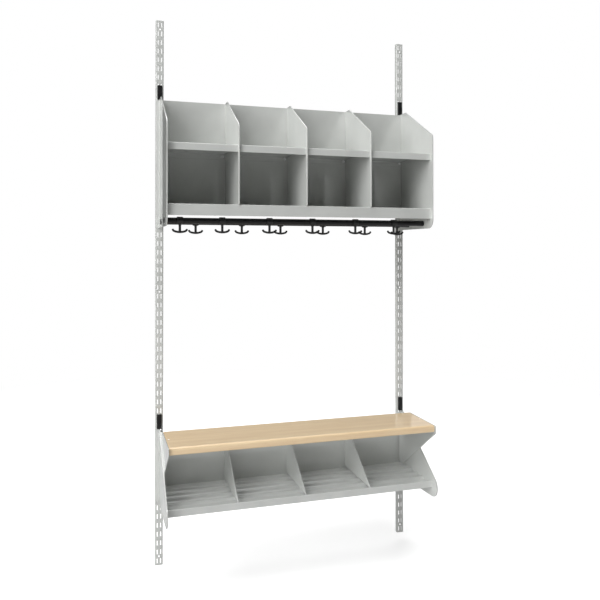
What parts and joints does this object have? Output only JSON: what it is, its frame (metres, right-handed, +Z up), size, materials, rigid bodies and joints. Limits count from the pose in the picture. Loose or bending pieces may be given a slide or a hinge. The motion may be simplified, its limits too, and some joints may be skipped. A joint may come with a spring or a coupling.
{
  "type": "wall-hung cloakroom unit",
  "caption": "Wall-hung cloakroom unit: slotted uprights carry open cubbies with sliding coat hooks below, and a wooden bench seat over a divided shoe rack.",
  "frame": {"origin": "centre of the uprights' corner wall holes, on the wall plane behind the uprights", "axes": "+X to the viewer's right, +Y into the wall, +Z up"},
  "size_m": [0.988, 0.3239, 1.984],
  "materials": {
    "grey_powder_coat": "satin light grey powder coat",
    "black_powder_coat": "satin black powder coat",
    "black_plastic": "satin black moulded plastic",
    "lacquered_wood": "clear glossy lacquer on light wood",
    "zinc_plated_steel": "bright zinc plate"
  },
  "bodies": {
    "frame": {"upright_left": "grey_powder_coat", "cubby_end_left": "grey_powder_coat", "seat_bracket_left": "grey_powder_coat", "shoe_end_left": "grey_powder_coat", "upright_right": "grey_powder_coat", "cubby_end_right": "grey_powder_coat", "seat_bracket_right": "grey_powder_coat", "shoe_end_right": "grey_powder_coat", "cubby_back": "grey_powder_coat", "cubby_floor": "grey_powder_coat", "shoe_shelf": "grey_powder_coat", "shoe_back": "grey_powder_coat", "cubby_divider_1": "grey_powder_coat", "shoe_divider_1": "grey_powder_coat", "cubby_divider_2": "grey_powder_coat", "shoe_divider_2": "grey_powder_coat", "cubby_divider_3": "grey_powder_coat", "shoe_divider_3": "grey_powder_coat", "hat_shelf_1": "grey_powder_coat", "hat_shelf_2": "grey_powder_coat", "hat_shelf_3": "grey_powder_coat", "hat_shelf_4": "grey_powder_coat", "shelf_screws": "zinc_plated_steel", "seat_bolts": "zinc_plated_steel", "hook_bar_front": "black_powder_coat", "hook_bar_rear": "black_powder_coat", "bar_plugs": "black_plastic", "seat_board": "lacquered_wood"},
    "clip_upper_left": {"clip_upper_left": "black_plastic"},
    "clip_upper_right": {"clip_upper_right": "black_plastic"},
    "clip_lower_left": {"clip_lower_left": "black_plastic"},
    "clip_lower_right": {"clip_lower_right": "black_plastic"},
    "hook_front_1": {"hook_front_1": "black_plastic"},
    "hook_front_2": {"hook_front_2": "black_plastic"},
    "hook_front_3": {"hook_front_3": "black_plastic"},
    "hook_front_4": {"hook_front_4": "black_plastic"},
    "hook_front_5": {"hook_front_5": "black_plastic"},
    "hook_front_6": {"hook_front_6": "black_plastic"},
    "hook_rear_1": {"hook_rear_1": "black_plastic"},
    "hook_rear_2": {"hook_rear_2": "black_plastic"},
    "hook_rear_3": {"hook_rear_3": "black_plastic"},
    "hook_rear_4": {"hook_rear_4": "black_plastic"},
    "hook_rear_5": {"hook_rear_5": "black_plastic"},
    "hook_rear_6": {"hook_rear_6": "black_plastic"}
  },
  "joints": [
    {"name": "hook_front_1_slide", "type": "slide", "parent": "frame", "child": "hook_front_1", "axis": [1, 0, 0], "range_m": [-0.036, 0.04]},
    {"name": "hook_front_2_slide", "type": "slide", "parent": "frame", "child": "hook_front_2", "axis": [1, 0, 0], "range_m": [-0.04, 0.04]},
    {"name": "hook_front_3_slide", "type": "slide", "parent": "frame", "child": "hook_front_3", "axis": [1, 0, 0], "range_m": [-0.04, 0.04]},
    {"name": "hook_front_4_slide", "type": "slide", "parent": "frame", "child": "hook_front_4", "axis": [1, 0, 0], "range_m": [-0.04, 0.04]},
    {"name": "hook_front_5_slide", "type": "slide", "parent": "frame", "child": "hook_front_5", "axis": [1, 0, 0], "range_m": [-0.04, 0.04]},
    {"name": "hook_front_6_slide", "type": "slide", "parent": "frame", "child": "hook_front_6", "axis": [1, 0, 0], "range_m": [-0.04, 0.04]},
    {"name": "hook_rear_1_slide", "type": "slide", "parent": "frame", "child": "hook_rear_1", "axis": [1, 0, 0], "range_m": [-0.04, 0.04]},
    {"name": "hook_rear_2_slide", "type": "slide", "parent": "frame", "child": "hook_rear_2", "axis": [1, 0, 0], "range_m": [-0.04, 0.04]},
    {"name": "hook_rear_3_slide", "type": "slide", "parent": "frame", "child": "hook_rear_3", "axis": [1, 0, 0], "range_m": [-0.04, 0.04]},
    {"name": "hook_rear_4_slide", "type": "slide", "parent": "frame", "child": "hook_rear_4", "axis": [1, 0, 0], "range_m": [-0.04, 0.04]},
    {"name": "hook_rear_5_slide", "type": "slide", "parent": "frame", "child": "hook_rear_5", "axis": [1, 0, 0], "range_m": [-0.04, 0.04]},
    {"name": "hook_rear_6_slide", "type": "slide", "parent": "frame", "child": "hook_rear_6", "axis": [1, 0, 0], "range_m": [-0.04, 0.037]},
    {"name": "clip_upper_left_pull", "type": "slide", "parent": "frame", "child": "clip_upper_left", "axis": [0, -1, 0], "range_m": [0, 0.012]},
    {"name": "clip_upper_right_pull", "type": "slide", "parent": "frame", "child": "clip_upper_right", "axis": [0, -1, 0], "range_m": [0, 0.012]},
    {"name": "clip_lower_left_pull", "type": "slide", "parent": "frame", "child": "clip_lower_left", "axis": [0, -1, 0], "range_m": [0, 0.012]},
    {"name": "clip_lower_right_pull", "type": "slide", "parent": "frame", "child": "clip_lower_right", "axis": [0, -1, 0], "range_m": [0, 0.012]}
  ]
}
